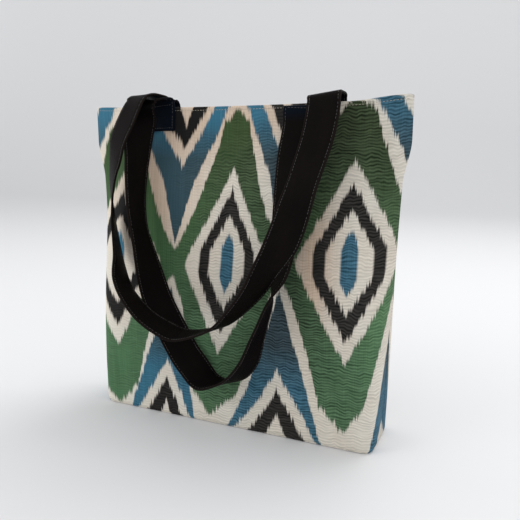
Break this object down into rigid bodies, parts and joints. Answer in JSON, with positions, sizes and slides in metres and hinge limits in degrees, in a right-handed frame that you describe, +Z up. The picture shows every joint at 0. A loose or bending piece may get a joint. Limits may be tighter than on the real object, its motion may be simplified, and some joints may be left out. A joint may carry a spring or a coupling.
{
  "type": "tote bag",
  "caption": "Open-topped cloth tote bag with a boxed base, ikat-patterned panels, a plain lining and leather strap handles hanging over its front.",
  "frame": {"origin": "middle of the flat base, on the floor", "axes": "+Z up, +X to the right along the front panel, -Y towards the viewer of the front"},
  "size_m": [0.4, 0.153, 0.3912],
  "materials": {
    "cloth": "ribbed cotton with a woven ikat pattern in cream, green, blue and black",
    "lining": "plain matt cotton",
    "strap": "smooth black, satin"
  },
  "bodies": {
    "root": {"base_panel": "cloth", "front_panel": "cloth", "back_panel": "cloth", "lining": "lining", "front_handle": "strap", "back_handle": "strap"}
  },
  "joints": []
}
